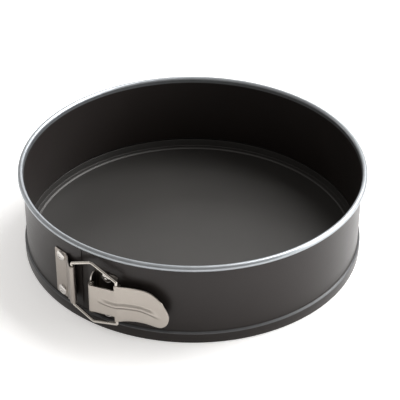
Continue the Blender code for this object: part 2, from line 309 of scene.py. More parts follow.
def arc(centre, radius, start, end, steps):
    turns = [radians(start + (end - start) * i / steps) for i in range(steps + 1)]
    return [Vector((centre[0] + radius * cos(a), centre[1] + radius * sin(a))) for a in turns]


def rounded(corners, radii, steps=5):
    """An open path through these corners, in 2 or 3 dimensions, with each inner corner rounded."""
    path = [corners[0].copy()]
    for before, corner, after, radius in zip(corners, corners[1:], corners[2:], radii):
        back, on = (before - corner).normalized(), (after - corner).normalized()
        half = back.angle(on) / 2
        centre = corner + (back + on).normalized() * radius / sin(half)
        first = corner + back * radius / tan(half) - centre
        last = corner + on * radius / tan(half) - centre
        sweep = first.angle(last)
        for i in range(steps + 1):
            t = i / steps
            spoke = (first * sin((1 - t) * sweep) + last * sin(t * sweep)) / sin(sweep)
            path.append(centre + spoke)
    return path + [corners[-1].copy()]


print("path tools ready")

# %% Thick outlines
END_STEPS = 3


def side_normals(path):
    """The unit normal on the left of a plane path at each point, lengthened at bends."""
    found = []
    for i, point in enumerate(path):
        back = (point - path[i - 1] if i else path[1] - point).normalized()
        on = (path[i + 1] - point if i + 1 < len(path) else point - path[i - 1]).normalized()
        normal = Vector((-back.y - on.y, back.x + on.x)).normalized()
        found.append(normal / max(normal.dot(Vector((-back.y, back.x))), 0.5))
    return found


def thickened(path, thickness):
    """A closed outline round an open path, with round ends."""
    normals = side_normals(path)
    half = thickness / 2
    left = [p + n * half for p, n in zip(path, normals)]
    right = [p - n * half for p, n in zip(path, normals)]

    def end_cap(point, normal):
        start = atan2(normal.y, normal.x)
        turns = rows_between(start, start - pi, END_STEPS + 1)[1:-1]
        return [point + Vector((cos(a), sin(a))) * half for a in turns]

    return left + end_cap(path[-1], normals[-1]) + right[::-1] + end_cap(path[0], -normals[0])


print("an end takes", END_STEPS, "points")

# %% Meshes
def add_piece(name, points, faces, material, sharp=40):
    """A clean mesh object: doubled and loose points removed, smooth but for edges above this angle."""
    mesh = bpy.data.meshes.new(name)
    mesh.from_pydata([tuple(p) for p in points], [], faces)
    shaped = bmesh.new()
    shaped.from_mesh(mesh)
    bmesh.ops.remove_doubles(shaped, verts=shaped.verts, dist=0.001 * MM)
    loose = [v for v in shaped.verts if not v.link_faces]
    bmesh.ops.delete(shaped, geom=loose, context="VERTS")
    bmesh.ops.recalc_face_normals(shaped, faces=shaped.faces)
    shaped.to_mesh(mesh)
    shaped.free()
    mesh.shade_smooth()
    mesh.set_sharp_from_angle(angle=radians(sharp))
    mesh.materials.append(material)
    ob = bpy.data.objects.new(name, mesh)
    bpy.context.scene.collection.objects.link(ob)
    return ob


def grid_faces(rings, count, wrap):
    """Quads between rings of count points each; wrap closes each ring."""
    made = []
    for start in range(0, (rings - 1) * count, count):
        for i in range(count if wrap else count - 1):
            after = (i + 1) % count
            made.append((start + i, start + after, start + count + after, start + count + i))
    return made


print("mesh tools ready")

# %% [markdown]
# ## The band
# One strip of 0.6 mm sheet: a lip under the base plate, an upright channel that holds the plate's edge, a
# shoulder back to the wall, 55 mm of plain wall, and a rim rolled outwards so that no raw edge is left.
# It is made as two halves that meet at the back. Both stay where they are made: neither is hung on a body,
# and neither bends.
# A curve with a profile could draw it too, but a swept section keeps the gauge true and the seam square.

# %% Band section
SHEET = 0.6 * MM
RIM_OUTER = 134.0 * MM
WALL_OUTER = 130.3 * MM
CHANNEL_OUTER = 132.0 * MM
LIP_INNER = 128.5 * MM
CHANNEL_TOP = 8.75 * MM
SHOULDER_TOP = 9.7 * MM
CORNER_RADII = (0.9 * MM, 0.55 * MM, 0.5 * MM)
RIM_TURN = (180, -125)
ROLL_STEPS = 22
WALL_STEPS = 6


def band_section():
    """The sheet's outline as (radius, height) points, from the lip up to the rolled rim."""
    half = SHEET / 2
    wall = WALL_OUTER - half
    channel = CHANNEL_OUTER - half
    roll = (RIM_OUTER - (WALL_OUTER - SHEET)) / 2 - half
    roll_centre = Vector((wall + roll, band_height - half - roll))
    corners = [Vector((LIP_INNER + half, half)), Vector((channel, half)), Vector((channel, CHANNEL_TOP)),
               Vector((wall, SHOULDER_TOP)), Vector((wall, roll_centre.y - 0.2 * MM))]
    path = rounded(corners, CORNER_RADII)[:-1]
    heights = rows_between(SHOULDER_TOP + 0.2 * MM, roll_centre.y - 0.5 * MM, WALL_STEPS)[1:-1]
    path += [Vector((wall, height)) for height in heights]
    return thickened(path + arc(roll_centre, roll, *RIM_TURN, ROLL_STEPS), SHEET)


section = band_section()
print("section points:", len(section))

# %% Sweep it round each half
BEARING_STEP = 1.5
SEAM_GAP = 0.04
JOGGLE_DEPTH = 0.55 * MM
JOGGLE_NEAR, JOGGLE_FAR = 1.2, 3.4
JOGGLE_STEPS = 6
JOGGLE_FOOT = (10 * MM, 13 * MM)
JOGGLE_HEAD = (band_height - 9 * MM, band_height - 6 * MM)


def at_bearing(radius, bearing, z):
    return Vector((radius * sin(radians(bearing)), -radius * cos(radians(bearing)), z))


def smooth(value, low, high):
    t = min(max((value - low) / (high - low), 0.0), 1.0)
    return t * t * (3 - 2 * t)


def sweep_band(name, start, end, joggled):
    """The band's section carried from one bearing to another. The joggled end dips under its neighbour."""
    bearings = rows_between(start, end, round((end - start) / BEARING_STEP))
    if joggled:
        fine = rows_between(JOGGLE_NEAR, JOGGLE_FAR, JOGGLE_STEPS)
        bearings = [start, *fine] + [b for b in bearings if b > fine[-1] + BEARING_STEP / 4]
    points = []
    for bearing in bearings:
        dip = JOGGLE_DEPTH * (1 - smooth(bearing, JOGGLE_NEAR, JOGGLE_FAR)) if joggled else 0
        for p in section:
            in_wall = smooth(p.y, *JOGGLE_FOOT) * (1 - smooth(p.y, *JOGGLE_HEAD))
            points.append(at_bearing(p.x - dip * in_wall, bearing, p.y))
    rings, size = len(bearings), len(section)
    faces = grid_faces(rings, size, wrap=True)
    faces.append(tuple(range(size - 1, -1, -1)))
    faces.append(tuple(range((rings - 1) * size, rings * size)))
    return add_piece(name, points, faces, band_coat)


half_left = sweep_band("band_left_half", -180, -SEAM_GAP, joggled=False)
half_right = sweep_band("band_right_half", SEAM_GAP, 180, joggled=True)
print("band faces:", len(half_left.data.polygons) + len(half_right.data.polygons))

# %% Bake the halves in place
HINGE_BEARING = 120
BEND_SPREAD = 30


def hang_half(half, side):
    """Bakes this half's place into its mesh. The bearings where a bend would start and end are worked out,
    but nothing uses them.
    """
    bend_from = at_bearing(WALL_OUTER, side * (HINGE_BEARING + BEND_SPREAD), band_height / 2)
    bend_to = at_bearing(WALL_OUTER, side * (HINGE_BEARING - BEND_SPREAD), band_height / 2)
    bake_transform(half)


hang_half(half_left, -1)
hang_half(half_right, 1)
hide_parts("band_left", "band_back")
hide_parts("band_right")
print("each half bends over", 2 * BEND_SPREAD, "degrees")

# %% [markdown]
# ## The seam strip
# The right end carries a short strip, spot-welded inside, that the left end laps over. It keeps batter from
# running out of the seam. It is a plain strip with eased edges, so a thin sheet with a small bevel will do.

# %% Pressed sheet tool
EASED_EDGE = 0.16 * MM


def pressed_sheet(name, columns, gauge, material, dropped=None, cut_edge=None):
    """Sheet metal from its middle surface: columns of points, thickened evenly, with eased edges.

    dropped says which (column, row) cells are cut away; cut_edge is the steel that shows at the cut: bare
    sheared steel, paler than the faces as a painted highlight.
    """
    count = len(columns[0])
    faces = grid_faces(len(columns), count, wrap=False)
    if dropped:
        cells = [(r, i) for r in range(len(columns) - 1) for i in range(count - 1)]
        faces = [face for face, cell in zip(faces, cells) if not dropped(*cell)]
    ob = add_piece(name, [p for column in columns for p in column], faces, material, sharp=80)
    shell = ob.modifiers.new("gauge", "SOLIDIFY")
    shell.thickness = gauge
    shell.offset = 0
    if cut_edge:
        ob.data.materials.append(cut_edge)
        shell.material_offset_rim = 1
    eased = ob.modifiers.new("eased_edges", "BEVEL")
    eased.width = EASED_EDGE
    eased.segments = 2
    eased.limit_method = "ANGLE"
    eased.angle_limit = radians(50)
    return ob


print("pressed sheet tool ready")

# %% Seam strip
STRIP_MIDDLE = WALL_OUTER - 1.5 * MM
STRIP_ENDS = (-2.7, 3.3)
STRIP_HEIGHTS = (12 * MM, 62 * MM)
strip_columns = [[at_bearing(STRIP_MIDDLE, b, z) for z in rows_between(*STRIP_HEIGHTS, 40)]
                 for b in rows_between(*STRIP_ENDS, 12)]
seam_strip = pressed_sheet("seam_strip", strip_columns, SHEET, band_coat)
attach(seam_strip, "band_right_arm")
print("strip height in mm:", round((STRIP_HEIGHTS[1] - STRIP_HEIGHTS[0]) / MM))

# %% [markdown]
# ## The base plate
# A disc pressed from 0.8 mm sheet: a flat floor, a small step up over the band's lip, and an edge turned
# up inside the channel. It is turned about its own axis from half a section. Its coating shows the fine
# rings that spinning and spraying leave.

# %% Turning tool
def turned(name, profile, steps, material, place=Matrix.Identity(4)):
    """A solid of revolution about Z from (radius, z) points. Points at radius 0 close on the axis."""
    points = []
    for r, z in profile:
        points += [place @ Vector((r * cos(2 * pi * i / steps), r * sin(2 * pi * i / steps), z))
                   for i in range(steps)]
    faces = grid_faces(len(profile), steps, wrap=True)
    return add_piece(name, points, faces, material, sharp=50)


print("turning tool ready")

# %% Ringed coating
PLATE_DARK = (0.0273, 0.026, 0.0247, 1)
PLATE_LIGHT = (0.04664, 0.044, 0.04136, 1)
PLATE_RINGS = (0.07875, 0.075, 0.07125, 1)


def ringed_coating(name):
    """The dark coating with fine rings round the middle."""
    finish = Finish(name, {"Specular IOR Level": 0.5})
    place = finish.place()
    east, north = finish.axis(place, "X"), finish.axis(place, "Y")
    radius = (east * east + north * north) ** 0.5
    rings = finish.node("ShaderNodeTexNoise", {"noise_dimensions": "1D"},
                        {"W": radius, "Scale": 900.0, "Detail": 4.0, "Roughness": 0.6})
    grain = finish.noise(place, GRAIN_SCALE, 3.0, 0.6)
    cloud = finish.noise(place, 16.0, 3.0, 0.55)
    dark = finish.blend(cloud, PLATE_DARK, PLATE_LIGHT)
    finish.drive(base_color=finish.blend(rings * 0.4, dark, PLATE_RINGS),
                 metallic=0.3 + rings * 0.1,
                 roughness=0.32 + rings * 0.14 + grain * 0.05,
                 normal=finish.bump(rings + grain * 0.5, GRAIN_BUMP))
    return finish.material


base_coat = ringed_coating("base_coating")
print("ringed coating nodes:", len(base_coat.node_tree.nodes))

# %% Base plate
PLATE = 0.8 * MM
PLATE_RADIUS = 131.1 * MM
PLATE_FLAT = 125.5 * MM
PLATE_LIFT = 0.95 * MM
PLATE_EDGE = 8.0 * MM
STEP_FROM, STEP_TO = 0.6 * MM, 1.8 * MM
PLATE_RADII = (1.0 * MM, 1.0 * MM, 0.8 * MM)
PLATE_FACETS = 240
half_plate = PLATE / 2
plate_wall = PLATE_RADIUS - half_plate
lifted = PLATE_LIFT + half_plate
plate_corners = [Vector((12 * MM, half_plate)), Vector((PLATE_FLAT + STEP_FROM, half_plate)),
                 Vector((PLATE_FLAT + STEP_TO, lifted)), Vector((plate_wall, lifted)),
                 Vector((plate_wall, PLATE_EDGE - half_plate))]
plate_outline = thickened(rounded(plate_corners, PLATE_RADII), PLATE)
# The last points of the outline round its inner end. They go, because the disc runs on to its axis.
plate_profile = [(0, PLATE)] + [tuple(p) for p in plate_outline[:-END_STEPS]] + [(0, 0)]
plate = turned("base_plate_turned", plate_profile, PLATE_FACETS, base_coat)
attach(plate, "base")
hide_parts("base_plate")
print("base plate faces:", len(plate.data.polygons))

# %% [markdown]
# ## Stainless finishes
# The latch is bare stainless: satin sheet with a faint rolled grain, a lever pressed from the same sheet,
# and bright drawn wire and rivets. They differ in how wide they spread a highlight and in which way their
# scratches run, so one recipe takes a grain direction and a gloss.

# %% Stainless
UPRIGHT_GRAIN = (2600.0, 2600.0, 110.0)
EVEN_GRAIN = (1500.0, 1500.0, 1500.0)
# Painted shade: the dark colour laid along the foot of the lever's rib.
RIB_SHADE_COLOUR = (0.09, 0.08, 0.07, 1)


def stainless(name, light, dark, gloss, grain_scale, smudge=0.1, shade_attribute=None):
    """Bare steel. A small grain_scale draws its noise out. The last argument names the mesh attribute where
    shade is painted darker.
    """
    finish = Finish(name, {"Specular IOR Level": 0.5})
    place = finish.place()
    brush = finish.noise(finish.stretched(place, grain_scale), 1.0, 4.0, 0.65)
    cloud = finish.noise(place, 90.0, 3.0, 0.55)
    pits = finish.noise(place, 3200.0, 2.0, 0.5)
    tone = finish.blend(brush * 0.6 + cloud * 0.4, dark, light)
    if shade_attribute:
        mark = finish.node("ShaderNodeAttribute", {"attribute_name": shade_attribute}, out="Fac")
        # Painted shade: the steel is darkened where the mesh attribute marks it.
        tone = finish.blend(mark * 0.75, tone, RIB_SHADE_COLOUR)
    finish.drive(base_color=tone, metallic=0.97 + pits * 0.03,
                 roughness=gloss + brush * 0.14 + cloud * smudge,
                 normal=finish.bump(brush + pits * 0.4, 0.00002))
    return finish.material


print("stainless recipe ready")

# %% The six steels
latch_steel = stainless("latch_sheet", light=(0.43, 0.39, 0.35, 1), dark=(0.3, 0.27, 0.245, 1),
                        gloss=0.25, grain_scale=UPRIGHT_GRAIN)
# The bracket is a darker copy of the latch's stainless: painted shade for a bracket that sits in the lever's
# shadow.
bracket_shaded_steel = stainless("bracket_sheet", light=(0.11, 0.1, 0.09, 1), dark=(0.06, 0.052, 0.045, 1),
                          gloss=0.22, grain_scale=UPRIGHT_GRAIN)
lever_steel = stainless("lever_sheet", light=(0.46, 0.42, 0.38, 1), dark=(0.38, 0.345, 0.31, 1),
                        gloss=0.27, grain_scale=UPRIGHT_GRAIN, shade_attribute="rib_shade")
wire_steel = stainless("latch_wire", light=(0.66, 0.62, 0.57, 1), dark=(0.48, 0.45, 0.41, 1),
                       gloss=0.12, grain_scale=EVEN_GRAIN, smudge=0.06)
rivet_steel = stainless("rivet_steel", light=(0.7, 0.67, 0.64, 1), dark=(0.5, 0.48, 0.45, 1),
                        gloss=0.07, grain_scale=EVEN_GRAIN, smudge=0.05)
# The cut edges are bare sheared steel, made paler than the faces as a painted highlight along every edge.
sheared_steel_highlight = stainless("sheared_edge", light=(0.74, 0.7, 0.65, 1), dark=(0.56, 0.53, 0.49, 1),
                          gloss=0.2, grain_scale=EVEN_GRAIN)
print("materials so far:", len(bpy.data.materials))

# %% [markdown]
# ## The hook plate
# A 1 mm plate riveted left of the seam. Its right edge steps out from the band, narrows, and is rolled
# round the bail's straight run as a hinge. Its outline is drawn along the sheet as a height for each place,
# so the shoulder where it narrows can be a soft curve.

# %% Curves through points
def through(keys, x):
    """A smooth value at x through (x, value) keys. A value may be a number or a vector."""
    last = len(keys) - 1
    i = next((k for k in range(last) if x <= keys[k + 1][0]), last - 1)

    def slope(k):
        before, after = keys[max(k - 1, 0)], keys[min(k + 1, last)]
        return (after[1] - before[1]) / (after[0] - before[0])

    (x0, y0), (x1, y1) = keys[i], keys[i + 1]
    span = x1 - x0
    t = min(max((x - x0) / span, 0.0), 1.0)
    return (y0 * (2 * t ** 3 - 3 * t * t + 1) + y1 * (3 * t * t - 2 * t ** 3)
            + slope(i) * span * (t ** 3 - 2 * t * t + t) + slope(i + 1) * span * (t ** 3 - t * t))


def in_front(plan, z):
    """A plan point (x, distance in front of the centre) at a height."""
    return Vector((plan[0], -plan[1], z))


def plan_bearing(radius, bearing):
    return Vector((radius * sin(radians(bearing)), radius * cos(radians(bearing))))


print("a quarter of the way from 0 to 1:", through(((0, 0.0), (1, 1.0)), 0.25))

# %% Hook plate sizes
LATCH_Z = 32.0 * MM
LATCH_SHEET = 1.0 * MM
LATCH_GAP = 0.3 * MM
WIRE_RADIUS = 1.2 * MM
BAIL_HINGE = Vector((-5.2 * MM, 135.1 * MM))
PLATE_ENDS = (-12.1, -7.2)
PLATE_HALF = 20.0 * MM
CURL_HALF = 16.5 * MM
BEND_BEARING = -6.7
BEND_RADIUS = 3.0 * MM
NECK_FROM, NECK_AT = 15.0 * MM, 17.2 * MM
NECK_HALF = 17.2 * MM
TAPER_LENGTH = 5 * MM
CURL_TURN = (128, -165)
LEFT_CORNER = 1.2 * MM
seat = WALL_OUTER + LATCH_SHEET / 2
print("the plate narrows from", round(2 * PLATE_HALF / MM), "to", round(2 * CURL_HALF / MM), "mm")

# %% Hook plate outline
def along(path, distance):
    """The point this far along a path."""
    for first, second in zip(path, path[1:]):
        step = (second - first).length
        if distance <= step:
            return first.lerp(second, distance / step)
        distance -= step
    return path[-1].copy()


def path_length(path):
    return sum((second - first).length for first, second in zip(path, path[1:]))


def hook_plate_half(d):
    """Half the plate's height this far from its left edge: a clipped corner, a soft neck, a taper."""
    clipped = LEFT_CORNER * max(0.0, 1 - d / LEFT_CORNER) ** 2
    neck = (PLATE_HALF - NECK_HALF) * smooth(d, NECK_FROM, NECK_AT)
    taper = (NECK_HALF - CURL_HALF) * smooth(d, NECK_AT, NECK_AT + TAPER_LENGTH)
    return PLATE_HALF - clipped - neck - taper


curl_radius = WIRE_RADIUS + 0.1 * MM + LATCH_SHEET / 2
curl = arc(BAIL_HINGE, curl_radius, *CURL_TURN, 30)
flat = [plan_bearing(seat, b) for b in rows_between(*PLATE_ENDS, 14)]
ramp = rounded([flat[-1], plan_bearing(seat, BEND_BEARING), curl[0]], (BEND_RADIUS,), 6)
hook_line = flat + ramp[1:] + curl[1:]
print("flat length of the hook plate in mm:", round(path_length(hook_line) / MM, 1))

# %% Hook plate
HOOK_COLUMNS, HOOK_ROWS = 84, 48


def hook_plate_column(d):
    place, half = along(hook_line, d), hook_plate_half(d)
    return [in_front(place, LATCH_Z + z) for z in rows_between(-half, half, HOOK_ROWS)]


hook_columns = [hook_plate_column(d) for d in rows_between(0, path_length(hook_line), HOOK_COLUMNS)]
hook_plate = pressed_sheet("hook_plate_pressed", hook_columns, LATCH_SHEET, latch_steel,
                           cut_edge=sheared_steel_highlight)
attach(hook_plate, "band_left_arm")
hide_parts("hook_plate")
print("hook plate cells:", len(hook_plate.data.polygons))

# %% [markdown]
# ## The rivets
# Four semi-tubular rivets: a low round head with a punched dimple outside, and a flat head inside the pan.
# They are one profile turned four times, each on the line that points straight out of the pan. A squashed
# ball would do for the head, but a profile gives the dimple, the shank and both heads in one clean mesh.

# %% Rivet profile
RIVET_HEAD = 4.2 * MM
RIVET_RISE = 1.6 * MM
HEAD_EDGE = 0.25 * MM
RIVET_DIMPLE = 1.4 * MM
DIMPLE_LIP = 0.1 * MM
DIMPLE_DEPTH = 0.6 * MM
INNER_HEAD = 2.7 * MM
INNER_RISE = 0.75 * MM
SHANK = 1.5 * MM
SUNK = 0.05 * MM
sheet_face = WALL_OUTER + LATCH_SHEET
inner_wall = WALL_OUTER - SHEET
dome_turns = [radians(a) for a in range(0, 72, 8)]
dimple_turns = [radians(a) for a in range(0, 91, 15)]
edge_top = sheet_face + HEAD_EDGE
lip = sheet_face + RIVET_RISE - DIMPLE_LIP
dome = [(RIVET_HEAD * cos(a), edge_top + (RIVET_RISE - HEAD_EDGE) * sin(a)) for a in dome_turns]
dimple = [(RIVET_DIMPLE * cos(a), lip - DIMPLE_DEPTH * sin(a)) for a in dimple_turns]
inner_end = inner_wall - INNER_RISE
inner_head = [(0, inner_end), (INNER_HEAD - 0.5 * MM, inner_end),
              (INNER_HEAD - 0.15 * MM, inner_wall - 0.6 * MM), (INNER_HEAD, inner_wall - 0.3 * MM),
              (INNER_HEAD, inner_wall + SUNK)]
shank = [(SHANK, inner_wall + SUNK), (SHANK, sheet_face - SUNK), (RIVET_HEAD, sheet_face - SUNK)]
rivet_profile = inner_head + shank + dome + dimple
print("rivet length in mm:", round((sheet_face + RIVET_RISE - inner_end) / MM, 2))

# %% Rivets
RIVET_FACETS = 40
HOOK_RIVETS = (-9.0, 15.5 * MM)
BRACKET_RIVETS = (9.9, 15.6 * MM)


def rivet(node, bearing, z, body):
    outward = at_bearing(1, bearing, 0).to_track_quat("Z", "Y").to_matrix().to_4x4()
    place = Matrix.Translation((0, 0, z)) @ outward
    made = turned(node + "_turned", rivet_profile, RIVET_FACETS, rivet_steel, place)
    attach(made, body)
    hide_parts(node)


for side, row in ((1, "upper"), (-1, "lower")):
    rivet(f"hook_plate_rivet_{row}", HOOK_RIVETS[0], LATCH_Z + side * HOOK_RIVETS[1], "band_left_arm")
    rivet(f"bracket_rivet_{row}", BRACKET_RIVETS[0], LATCH_Z + side * BRACKET_RIVETS[1], "band_right_arm")
print("points in a rivet's profile:", len(rivet_profile))

# %% [markdown]
# ## The bracket
# Right of the seam a second plate is riveted to the band. Its left side turns up as a wall, which tapers
# to two knuckles that are rolled round the pivot pin above and below the lever. It could be cut from a
# block, but one bent sheet has an even gauge and rolls its own knuckles, so it is drawn as a sheet with
# the middle of its rolled end left out. The pin is turned.

# %% Bracket line
PIVOT = Vector((15.0 * MM, 137.8 * MM))
PIN_RADIUS = 1.0 * MM
TONGUE_HALF = 11.5 * MM
KNUCKLE_OUTER = 12.9 * MM
BRACKET_LOWER = 18.2 * MM
BRACKET_UPPER = 19.2 * MM
BRACKET_ENDS = (13.6, 6.6)
BRACKET_BEND = 1.2 * MM
FLANGE_FOOT = 131.6 * MM
FLANGE_END = 136.3 * MM
BEND_TURN = (250, 180)
KNUCKLE_TURN = (180, -95)
roll_radius = PIN_RADIUS + 0.15 * MM + LATCH_SHEET / 2
wall_x = PIVOT.x - roll_radius
bracket_seat = [plan_bearing(seat, b) for b in rows_between(*BRACKET_ENDS, 14)]
bend = arc((wall_x + BRACKET_BEND, 131.0 * MM), BRACKET_BEND, *BEND_TURN, 6)
flange_turns = [radians(a) for a in range(0, 91, 6)]
flange = [Vector((wall_x, FLANGE_FOOT + (FLANGE_END - FLANGE_FOOT) * sin(a))) for a in flange_turns]
knuckle = arc(PIVOT, roll_radius, *KNUCKLE_TURN, 26)
bracket_path = bracket_seat + bend + flange + knuckle
flange_starts = len(bracket_seat) + len(bend)
knuckle_starts = flange_starts + len(flange)
print("flat length of the bracket in mm:", round(path_length(bracket_path) / MM, 1))

# %% Bracket
CUT_FROM = 135.2 * MM
CUT_HALF = TONGUE_HALF + LATCH_GAP
OUTER_ROWS, MIDDLE_ROWS = 8, 40
SEAT_CORNER = 1.5 * MM
CORNER_COLUMNS = 3


def bracket_half(column, full):
    """The plate's half height: a clipped right corner, then the flange rounds in to its knuckles."""
    if column < flange_starts:
        return full - SEAT_CORNER * max(0.0, 1 - column / CORNER_COLUMNS) ** 2
    if column < knuckle_starts:
        return KNUCKLE_OUTER + (full - KNUCKLE_OUTER) * cos(flange_turns[column - flange_starts])
    return KNUCKLE_OUTER


def bracket_column(column, p):
    low, high = bracket_half(column, BRACKET_LOWER), bracket_half(column, BRACKET_UPPER)
    heights = rows_between(-low, -CUT_HALF, OUTER_ROWS)[:-1]
    heights += rows_between(-CUT_HALF, CUT_HALF, MIDDLE_ROWS)
    heights += rows_between(CUT_HALF, high, OUTER_ROWS)[1:]
    return [in_front(p, LATCH_Z + z) for z in heights]


def between_knuckles(column, row):
    """Whether this cell lies where the lever's fold turns."""
    return bracket_path[column].y > CUT_FROM and OUTER_ROWS <= row < OUTER_ROWS + MIDDLE_ROWS


bracket_columns = [bracket_column(i, p) for i, p in enumerate(bracket_path)]
bracket = pressed_sheet("bracket_pressed", bracket_columns, LATCH_SHEET, bracket_shaded_steel,
                        between_knuckles, sheared_steel_highlight)
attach(bracket, "band_right_arm")
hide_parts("bracket")
print("bracket cells:", len(bracket.data.polygons))

# %% Pivot pin
PIN_PROUD = 0.4 * MM
PIN_FACETS = 24
pin_end = KNUCKLE_OUTER + PIN_PROUD
pin_top = [(PIN_RADIUS, pin_end - PIN_PROUD), (PIN_RADIUS * 0.9, pin_end - 0.15 * MM),
           (PIN_RADIUS * 0.6, pin_end)]
pin_bottom = [(r, -z) for r, z in pin_top[::-1]]
pin_profile = [(0, -pin_end)] + pin_bottom + pin_top + [(0, pin_end)]
pin_place = Matrix.Translation(in_front(PIVOT, LATCH_Z))
pin = turned("pivot_pin_turned", pin_profile, PIN_FACETS, wire_steel, pin_place)
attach(pin, "band_right_arm")
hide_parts("pivot_pin")
print("pin length in mm:", round(2 * pin_end / MM, 1))

# %% [markdown]
# ## The lever
# The thumb lever is pressed from the same 1 mm sheet. Its narrow tongue is folded round the pin, two ears
# take the tips of the bail, and the broad grip follows the band and lifts at the tip for a thumb. A long
# S-shaped rib, soft above and sharp below, stiffens it. The rib could be sculpted, but a formula is easier
# to move and to try again. The sheet is a grid of (bearing, height) places on a curved path, which is
# pushed outwards where the rib is.

# %% Lever outline
FOLD_END = 73
FOLD_TURN = 290
TONGUE_END = Vector((33.2 * MM, 134.2 * MM))
EAR_BEARING = 13.9
EAR_HALF = 16.0 * MM
GRIP_PATH = ((14.6, 138.17), (16.5, 136.95), (18.5, 136.4), (20.5, 136.1), (22.5, 136.1), (24.5, 136.35),
             (26.5, 136.95), (28.5, 137.85), (30.0, 138.75), (31.0, 139.4))
LOWER_EDGE = ((13.9, -16.0), (16.2, -14.8), (18.5, -13.9), (20.8, -13.4), (23.2, -13.5), (25.4, -14.2),
              (27.3, -14.5), (28.9, -13.2), (30.2, -9.4))
TIP = (30.65, -3.6)
UPPER_EDGE = ((30.15, 0.6), (29.1, 5.2), (27.7, 9.4), (26.0, 12.8), (24.1, 14.9), (22.0, 15.7),
              (19.5, 15.9), (16.5, 15.8), (13.9, 16.0))
EDGE_COUNT = len(LOWER_EDGE)
lever_outline = [(k, Vector(p)) for k, p in enumerate((*LOWER_EDGE, TIP, *UPPER_EDGE))]
fold_middle = arc(PIVOT, roll_radius, FOLD_END + FOLD_TURN, FOLD_END, 34)
tongue_start = fold_middle[-1]
tongue_line = TONGUE_END - tongue_start


def lever_radius(bearing):
    """How far from the centre the lever's sheet lies at this bearing: straight along the tongue first."""
    if bearing > GRIP_PATH[0][0]:
        return through(GRIP_PATH, bearing) * MM
    lean = tan(radians(bearing))
    t = (tongue_start.y * lean - tongue_start.x) / (tongue_line.x - tongue_line.y * lean)
    return (tongue_start + tongue_line * t).length


print("lever outline points:", len(lever_outline))

# %% Lever rib
RIB_LINE = ((8.7, -0.6), (11.0, -1.4), (13.4, -2.0), (17.4, -1.7), (21.4, -1.6), (24.4, -3.0), (27.2, -5.4))
RIB_RISE = 1.25 * MM
RIB_ABOVE = 4.2 * MM
RIB_BELOW = 1.5 * MM
RIB_START, RIB_END = (8.0, 11.5), (24.5, 28.5)
# Where shade is painted along the rib's sharp lower side.
RIB_SHADE_START, RIB_SHADE_END = (8.4, 11.0), (25.0, 28.0)
RIB_SHADE_TOP, RIB_SHADE_FOOT = (-0.5 * MM, 0.6 * MM), (1.1 * MM, 2.6 * MM)
ROLLED_EDGE = 1.4 * MM
ROLLED_DROP = 0.35 * MM
ROLLED_START = (15, 19)


def rib_rise(bearing, z):
    """How far the rib pushes the sheet out. z is the height above the latch's middle."""
    reach = smooth(bearing, *RIB_START) * (1 - smooth(bearing, *RIB_END))
    off = z - through(RIB_LINE, bearing) * MM
    return RIB_RISE * reach * (1 - smooth(abs(off), 0, RIB_ABOVE if off > 0 else RIB_BELOW))


def rib_shade_mask(bearing, z):
    """1 along the sharp lower side of the rib, where shade is painted into the steel's colour, and 0 away
    from it.
    """
    reach = smooth(bearing, *RIB_SHADE_START) * (1 - smooth(bearing, *RIB_SHADE_END))
    off = through(RIB_LINE, bearing) * MM - z
    return reach * smooth(off, *RIB_SHADE_TOP) * (1 - smooth(off, *RIB_SHADE_FOOT))


def lever_point(bearing, z, edge_distance):
    """A place on the lever's sheet, with its rib and its rolled edge. z is from the latch's middle."""
    drop = ROLLED_DROP * (1 - smooth(edge_distance, 0, ROLLED_EDGE)) * smooth(bearing, *ROLLED_START)
    return at_bearing(lever_radius(bearing) + rib_rise(bearing, z) - drop, bearing, LATCH_Z + z)


print("rib height at the grip in mm:", round(rib_rise(20, through(RIB_LINE, 20) * MM) / MM, 2))

# %% Lever grid
GRIP_COLUMNS = 84
LEVER_ROWS = 64
TONGUE_COLUMNS = 34
ROUND_END = 6.5
GRIP_HALF = 15 * MM
GRIP_LENGTH = 34 * MM


def outline_at(k):
    """A place on the lever's edge: along the lower edge, round the tip, and back along the upper edge."""
    return through(lever_outline, k)


def grip_place(u, v):
    """A (bearing, height) place in the grip. u runs from the ears to the round end, v from bottom to top."""
    full = 2 * EDGE_COUNT
    low, high = outline_at(u * ROUND_END), outline_at(full - u * ROUND_END)
    left = outline_at(0).lerp(outline_at(full), v)
    right = outline_at(ROUND_END + v * (full - 2 * ROUND_END))
    flat_low = outline_at(0).lerp(outline_at(ROUND_END), u)
    flat_high = outline_at(full).lerp(outline_at(full - ROUND_END), u)
    return low.lerp(high, v) + left.lerp(right, u) - flat_low.lerp(flat_high, v)


def grip_column(u, shares):
    """One upright line of the grip's grid."""
    made = []
    for share in shares:
        spot = grip_place(u, (share + 1) / 2)
        edge = min((1 - abs(share)) * GRIP_HALF, (1 - u) * GRIP_LENGTH)
        made.append(lever_point(spot.x, spot.y * MM, edge))
    return made


shares = rows_between(-1, 1, LEVER_ROWS)
tongue_bearing = degrees(atan2(tongue_start.x, tongue_start.y))
tongue_bearings = rows_between(tongue_bearing, EAR_BEARING, TONGUE_COLUMNS)
fold_grid = [[in_front(p, LATCH_Z + share * EAR_HALF) for share in shares] for p in fold_middle[:-1]]
tongue_grid = [[lever_point(b, share * EAR_HALF, 1) for share in shares] for b in tongue_bearings]
grip_grid = [grip_column(u, shares) for u in rows_between(0, 1, GRIP_COLUMNS)[1:]]
grip_starts = len(fold_grid) + len(tongue_grid)
print("lever grid columns:", grip_starts + len(grip_grid))

# %% Lever
def beside_tongue(column, row):
    """Whether this cell lies above or below the narrow tongue, where the sheet is cut away."""
    height = abs((row + 0.5) / (LEVER_ROWS / 2) - 1) * EAR_HALF
    return column < grip_starts - 1 and height > TONGUE_HALF


